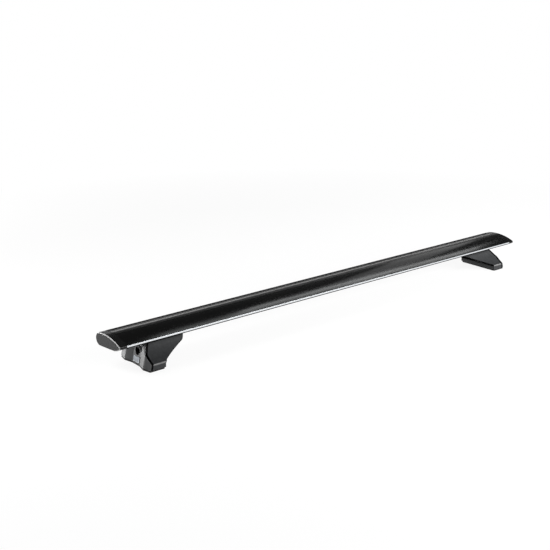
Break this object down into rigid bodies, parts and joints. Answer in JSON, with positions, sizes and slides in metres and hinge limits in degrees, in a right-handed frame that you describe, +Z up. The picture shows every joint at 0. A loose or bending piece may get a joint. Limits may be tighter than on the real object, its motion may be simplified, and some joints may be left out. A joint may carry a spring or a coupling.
{
  "type": "roof rack crossbar",
  "caption": "Hollow wing-section roof crossbar with a rubber-filled accessory slot, closed ends and sliding, lockable feet that bolt to a vehicle's roof fixing points.",
  "frame": {"origin": "on the ground under the middle of the bar, between the feet", "axes": "+X along the bar, -Y towards the bar's thin nose, +Z up"},
  "size_m": [1.08, 0.099, 0.0657],
  "materials": {
    "bar_aluminium": "black anodised, satin",
    "slot_rubber": "matte",
    "cap_plastic": "fine grain",
    "foot_plastic": "fine grain",
    "cover_plastic": "satin",
    "pad_rubber": "matte",
    "zinc_steel": "black zinc plated",
    "lock_metal": "blackened"
  },
  "bodies": {
    "bar": {"bar_extrusion": "bar_aluminium", "slot_strip": "slot_rubber", "left_end_cap": "cap_plastic", "right_end_cap": "cap_plastic"},
    "left_foot": {"left_foot_body": "foot_plastic", "left_base_pad": "pad_rubber", "left_seat_pad": "pad_rubber", "left_mount_bracket": "zinc_steel", "left_clamp_bolt": "zinc_steel", "left_clamp_washer": "zinc_steel", "left_slot_nut": "zinc_steel"},
    "left_cover": {"left_outer_cover": "cover_plastic", "left_lock_barrel": "lock_metal"},
    "left_lock": {"left_lock_plug": "lock_metal", "left_lock_cam": "zinc_steel", "left_cam_screw": "zinc_steel"},
    "right_foot": {"right_foot_body": "foot_plastic", "right_base_pad": "pad_rubber", "right_seat_pad": "pad_rubber", "right_mount_bracket": "zinc_steel", "right_clamp_bolt": "zinc_steel", "right_clamp_washer": "zinc_steel", "right_slot_nut": "zinc_steel"},
    "right_cover": {"right_outer_cover": "cover_plastic", "right_lock_barrel": "lock_metal"},
    "right_lock": {"right_lock_plug": "lock_metal", "right_lock_cam": "zinc_steel", "right_cam_screw": "zinc_steel"}
  },
  "joints": [
    {"name": "left_foot_slide", "type": "slide", "parent": "bar", "child": "left_foot", "axis": [-1, 0, 0], "range_m": [-0.15, 0.03]},
    {"name": "left_cover_pull", "type": "slide", "parent": "left_foot", "child": "left_cover", "axis": [-1, 0, 0], "range_m": [0, 0.03]},
    {"name": "left_lock_turn", "type": "hinge", "parent": "left_cover", "child": "left_lock", "pos_m": [-0.473, 0, 0.0252], "axis": [1, 0, 0], "range_deg": [0, 90]},
    {"name": "right_foot_slide", "type": "slide", "parent": "bar", "child": "right_foot", "axis": [1, 0, 0], "range_m": [-0.15, 0.03]},
    {"name": "right_cover_pull", "type": "slide", "parent": "right_foot", "child": "right_cover", "axis": [1, 0, 0], "range_m": [0, 0.03]},
    {"name": "right_lock_turn", "type": "hinge", "parent": "right_cover", "child": "right_lock", "pos_m": [0.473, 0, 0.0252], "axis": [1, 0, 0], "range_deg": [0, 90]}
  ]
}
